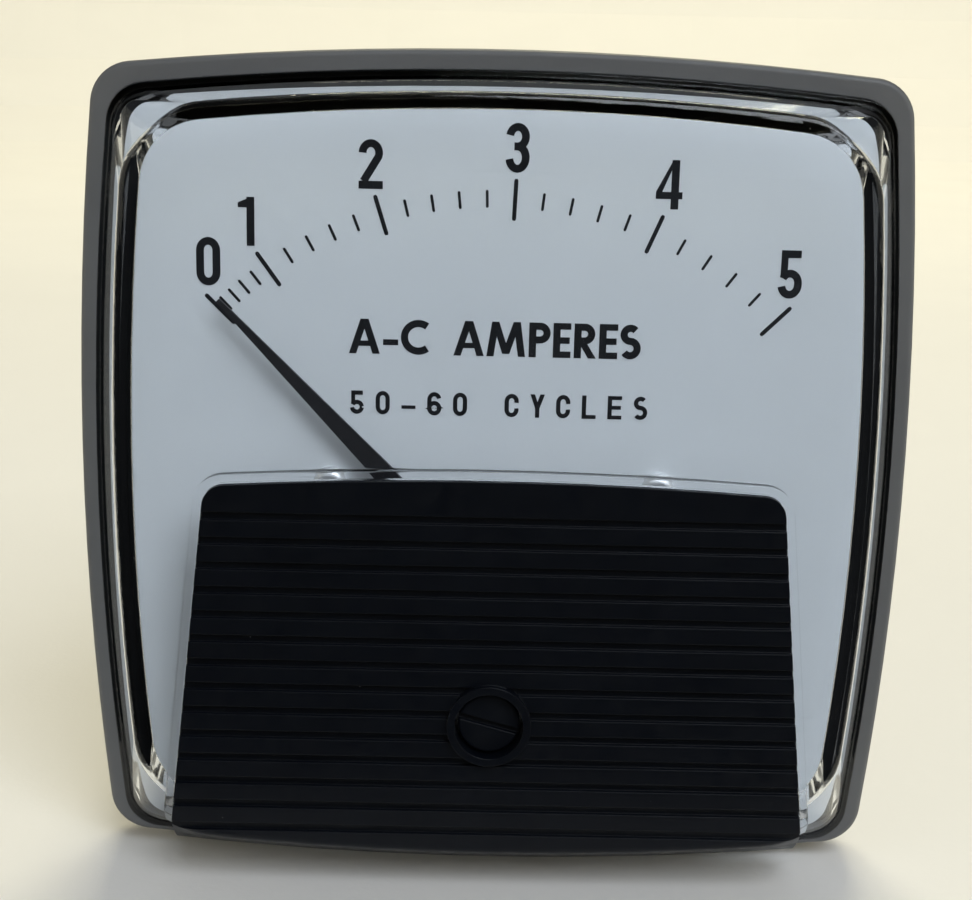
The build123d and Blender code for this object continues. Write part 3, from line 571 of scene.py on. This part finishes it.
def glyph_6(w, h, s):
    across, up = bowl_size(w, h, s)
    lower_top = 0.62 * h
    round_up = min(up, (lower_top - s) / 2)
    ring = arc(w / 2, lower_top - s / 2 - round_up, across, round_up, 0, 180)
    ring += arc(w / 2, s / 2 + round_up, across, round_up, 180, 360)
    back = arc(w / 2, h - s / 2 - up, across, up, 15, 180) + [(s / 2, s / 2 + up)]
    return band(ring, s, closed=True) + band(back, s)


def glyph_hyphen(w, h, s):
    return [bar(0, w, 0.26 * h, 0.26 * h + 0.8 * s)]


def glyph_A(w, h, s):
    wide = 1.02 * s
    left, right = wide / 2, w - wide / 2
    legs = [leg((left, 0), (w / 2 - 0.05 * s, h), wide), leg((right, 0), (w / 2 + 0.05 * s, h), wide)]
    return legs + [bar(0.2 * w, 0.8 * w, 0.22 * h, 0.22 * h + 0.75 * s)]


def glyph_C(w, h, s):
    """Round and open to the right; nearly a circle where the letter is wide."""
    if w > 0.6 * h:
        radius = (h - s) / 2
        return band(arc(s / 2 + radius, h / 2, radius, radius, 52, 308, 28), s)
    across, up = bowl_size(w, h, s)
    path = arc(w / 2, h - s / 2 - up, across, up, -12, 180)
    return band(path + arc(w / 2, s / 2 + up, across, up, 180, 372), s)


def glyph_E(w, h, s):
    arm = 0.9 * s
    rows = [bar(0, w, 0, arm), bar(0, 0.94 * w, (h - arm) / 2, (h + arm) / 2), bar(0, w, h - arm, h)]
    return rows + [bar(0, s, 0, h)]


def glyph_L(w, h, s):
    return [bar(0, s, 0, h), bar(0, w, 0, 0.9 * s)]


def glyph_M(w, h, s):
    splay, foot = 0.13 * w, 0.08 * h
    outer = [leg((s / 2, 0), (splay + s / 2, h), s), leg((w - s / 2, 0), (w - splay - s / 2, h), s)]
    inner = [leg((w / 2, foot), (splay + s / 2, h), s), leg((w / 2, foot), (w - splay - s / 2, h), s)]
    return outer + inner


def glyph_P(w, h, s):
    low = 0.40 * h
    radius = (h - low - s) / 2
    path = [(s / 2, h - s / 2)] + arc(w - s / 2 - radius, h - s / 2 - radius, radius, radius, 90, -90)
    return band(path + [(s / 2, low + s / 2)], s) + [bar(0, s, 0, h)]


def glyph_R(w, h, s):
    return glyph_P(w * 0.94, h, s) + [leg((w - 0.55 * s, 0), (0.38 * w, 0.45 * h), 1.1 * s)]


def glyph_S(w, h, s):
    across = (w - s) / 2
    upper, lower = 0.24 * h - s / 4, 0.26 * h - s / 4
    top = arc(w / 2, h - s / 2 - upper, across * 0.93, upper, 40, 270)
    foot = arc(w / 2, s / 2 + lower, across, lower, 90, -145)
    return band(top + foot[1:], s)


def glyph_Y(w, h, s):
    fork = (w / 2, 0.40 * h)
    arms = [leg(fork, (s / 2, h), 1.05 * s), leg(fork, (w - s / 2, h), 1.05 * s)]
    return arms + [bar((w - s) / 2, (w + s) / 2, 0, 0.46 * h)]


GLYPHS = {"0": glyph_0, "1": glyph_1, "2": glyph_2, "3": glyph_3, "4": glyph_4, "5": glyph_5,
          "6": glyph_6, "-": glyph_hyphen, "A": glyph_A, "C": glyph_C, "E": glyph_E, "L": glyph_L,
          "M": glyph_M, "P": glyph_P, "R": glyph_R, "S": glyph_S, "Y": glyph_Y}


def placed(outlines, x, z):
    return [[(point[0] + x, point[1] + z) for point in outline] for outline in outlines]


INK_THICKNESS, INK_SINK = 0.03, 0.02


def encloses(outline, point):
    """Whether a closed outline has this point inside it, by the sides that pass to its right."""
    crossings = 0
    for a, b in zip(outline, outline[1:] + outline[:1]):
        if (a[1] > point[1]) != (b[1] > point[1]):
            meets = a[0] + (point[1] - a[1]) * (b[0] - a[0]) / (b[1] - a[1])
            crossings += point[0] < meets
    return crossings % 2 == 1


def print_on_dial(name, outlines, material):
    """Merge flat outlines into one thin raised film on the dial's face."""
    corners = [Vector(point[:2]) for outline in outlines for point in outline]
    faces, first = [], 0
    for outline in outlines:
        faces.append(list(range(first, first + len(outline))))
        first += len(outline)
    whole_hull, merge_distance = 0, 1e-4
    points, _, triangles, *_ = delaunay_2d_cdt(corners, [], faces, whole_hull, merge_distance)
    build = bmesh.new()
    rear = [build.verts.new((p[0] * MM, (DIAL_FACE + INK_SINK) * MM, p[1] * MM)) for p in points]
    for triangle in triangles:
        centre = sum((points[i] for i in triangle), Vector((0, 0))) / 3
        if any(encloses(outline, centre) for outline in outlines):
            build.faces.new([rear[i] for i in triangle])
    raised = bmesh.ops.extrude_face_region(build, geom=list(build.faces))
    moved = [item for item in raised["geom"] if isinstance(item, bmesh.types.BMVert)]
    bmesh.ops.translate(build, verts=moved, vec=(0, -(INK_THICKNESS + INK_SINK) * MM, 0))
    loose = [vert for vert in build.verts if not vert.link_faces]
    bmesh.ops.delete(build, geom=loose, context="VERTS")
    return solid_piece(name, build, material, "case")


ZERO_ANGLE, FULL_SCALE = -45.0, 5.0


def scale_angle(amperes):
    """Degrees from straight up at which the scale has this value: cramped below 1."""
    if amperes <= 1:
        return ZERO_ANGLE + 9.25 * amperes ** 1.27
    return ZERO_ANGLE + 9.25 + 17.6 * (amperes - 1) + 0.65 * (amperes - 1) ** 2


def on_scale(radius, angle):
    turn = math.radians(angle)
    return Vector((radius * math.sin(turn), PIVOT_Z + radius * math.cos(turn)))


def tick(angle, inner, outer, width):
    """Radial mark with slightly rounded ends."""
    low, high = on_scale(inner, angle), on_scale(outer, angle)
    along = (high - low).normalized()
    across = Vector((along.y, -along.x)) * width / 2
    nose = along * width * 0.22
    return [low - across * 0.6 - nose, low + across * 0.6 - nose, low + across + nose,
            high + across - nose, high + across * 0.6 + nose, high - across * 0.6 + nose,
            high - across - nose, low - across + nose]


def scale_marks():
    """A mark every 0.2, longer and heavier at whole numbers."""
    steps, per_number = 25, 5
    long_mark, short_mark = (32.58, 36.0, 0.36), (33.62, 35.03, 0.24)   # inner, outer, width
    marks = []
    for step in range(steps + 1):
        shape = long_mark if step % per_number == 0 else short_mark
        marks.append(tick(scale_angle(step * FULL_SCALE / steps), *shape))
    return marks


NUMERAL_HEIGHT, NUMERAL_STROKE = 4.2, 0.67
NUMERALS = {"0": (2.08, 0), "1": (1.42, -0.53), "2": (2.08, -0.03), "3": (2.08, 0), "4": (2.28, 0),
            "5": (2.10, 0.03)}                  # width, and shift to the right


def scale_numerals():
    """Upright numerals outside their marks, a little nearer the middle at both ends."""
    outlines = []
    for text, (width, shift) in NUMERALS.items():
        angle = scale_angle(int(text))
        lean = (angle / ZERO_ANGLE) ** 4
        centre = on_scale(38.7 - 0.72 * lean, angle * (0.96 - 0.035 * lean))
        glyph = GLYPHS[text](width, NUMERAL_HEIGHT, NUMERAL_STROKE)
        outlines += placed(glyph, centre.x + shift - width / 2, centre.y - NUMERAL_HEIGHT / 2)
    return outlines


def dial_lettering():
    """What the dial measures, in wide capitals, above a spaced condensed line."""
    title = (("A", -13.02, 2.72), ("-", -10.02, 1.32), ("C", -8.47, 2.24), ("A", -3.85, 2.68),
             ("M", -0.95, 3.40), ("P", 2.76, 1.88), ("E", 4.88, 1.55), ("R", 6.72, 1.95),
             ("E", 8.92, 1.62), ("S", 10.72, 1.86))
    title_height, title_stroke, title_foot = 3.08, 0.63, 12.08
    outlines = []
    for text, left, width in title:
        outlines += placed(GLYPHS[text](width, title_height, title_stroke), left, title_foot)
    line, pitch, width, height, stroke, foot = "50-60 CYCLES", 2.28, 1.25, 2.1, 0.38, 6.65
    left = -(pitch * (len(line) - 1) + width) / 2 + 0.25
    for i, text in enumerate(line):
        if text != " ":
            outlines += placed(GLYPHS[text](width, height, stroke), left + i * pitch, foot)
    return outlines


def add_dial_print():
    ink = black_print()
    print_on_dial("dial_scale_marks", scale_marks(), ink)
    print_on_dial("dial_numerals", scale_numerals(), ink)
    print_on_dial("dial_lettering", dial_lettering(), ink)


# ---- studs and nuts behind the panel ----

TERMINAL_X = 12.7


def thread_rings(x, z, radius, pitch, start, end, plain, bevel):
    """Rings of a rod along Y: plain up to a depth, then a helical thread, and a bevelled end."""
    around, per_turn, depth = 32, 8, 0.61 * pitch
    rings = []
    count = int((end - start) / pitch * per_turn)
    for row in range(count + 1):
        y = start + (end - start) * row / count
        fade = min(max((y - plain) / pitch, 0.0), 1.0)
        limit = radius - max(bevel - (end - y), 0.0)
        ring = []
        for a in turns(around):
            phase = (y / pitch - a / (2 * math.pi)) % 1.0
            groove = depth * fade * max(0.0, 1.0 - abs(phase - 0.5) / 0.44)
            r = min(radius - groove, limit)
            ring.append(((x + r * math.cos(a)) * MM, y * MM, (z + r * math.sin(a)) * MM))
        rings.append(ring)
    return rings


def add_mounting_studs(finishes):
    low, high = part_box("mounting_studs")
    radius, pitch = 1.4225, 0.635
    centre = 21.9
    build = bmesh.new()
    for x in (-centre, centre):
        for z in (-centre, centre):
            rings = thread_rings(x, z, radius, pitch, low.y / MM, high.y / MM, 0.6, 0.35)
            skin_rings(build, rings, close_start=True, close_end=True)
    piece = solid_piece("mounting_stud_threads", build, finishes["bright_steel"],
                        "case", 50)
    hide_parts("mounting_studs")


def add_terminal_studs(finishes):
    low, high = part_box("terminal_studs")
    radius, pitch = 2.413, 0.794
    thread_start, bevel = 32.5, 0.5
    build = bmesh.new()
    for x in (-TERMINAL_X, TERMINAL_X):
        rings = thread_rings(x, 0.0, radius, pitch, low.y / MM, high.y / MM, thread_start, bevel)
        skin_rings(build, rings, close_start=True, close_end=True)
    piece = solid_piece("terminal_stud_threads", build, finishes["tinned_brass"],
                        "case", 50)
    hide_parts("terminal_studs")


def nut_rings(x, z, across_flats, bore, front, rear):
    """Rings round a hexagon nut whose corners are turned off at both faces."""
    around, turned = 72, 0.965 * across_flats / 2
    slope = math.tan(math.radians(30))

    def ring(radius_at, depth_at):
        points = []
        for a in turns(around):
            side = (math.degrees(a) + 30) % 60 - 30
            corner = across_flats / 2 / math.cos(math.radians(side))
            r = radius_at(corner)
            points.append(((x + r * math.cos(a)) * MM, depth_at(corner) * MM,
                           (z + r * math.sin(a)) * MM))
        return points

    def cut(corner):
        return (corner - turned) * slope

    return [
        ring(lambda c: bore, lambda c: front + 0.3), ring(lambda c: bore + 0.3, lambda c: front),
        ring(lambda c: turned, lambda c: front), ring(lambda c: c, lambda c: front + cut(c)),
        ring(lambda c: c, lambda c: rear - cut(c)), ring(lambda c: turned, lambda c: rear),
        ring(lambda c: bore + 0.3, lambda c: rear), ring(lambda c: bore, lambda c: rear - 0.3),
    ]


def add_terminal_nuts(finishes):
    low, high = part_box("terminal_nuts")
    across_flats, bore = 9.5, 2.42
    build = bmesh.new()
    for x in (-TERMINAL_X, TERMINAL_X):
        rings = nut_rings(x, 0.0, across_flats, bore, low.y / MM, high.y / MM)
        skin_rings(build, rings, joined=True)
    piece = solid_piece("terminal_hex_nuts", build, finishes["tinned_brass"],
                        "case", 20)
    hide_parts("terminal_nuts")


add_camera()
add_world()
add_lights()
add_stage()
add_black_flag()
finishes = paint_cad_nodes()
add_dial_print()
add_mounting_studs(finishes)
add_terminal_studs(finishes)
add_terminal_nuts(finishes)
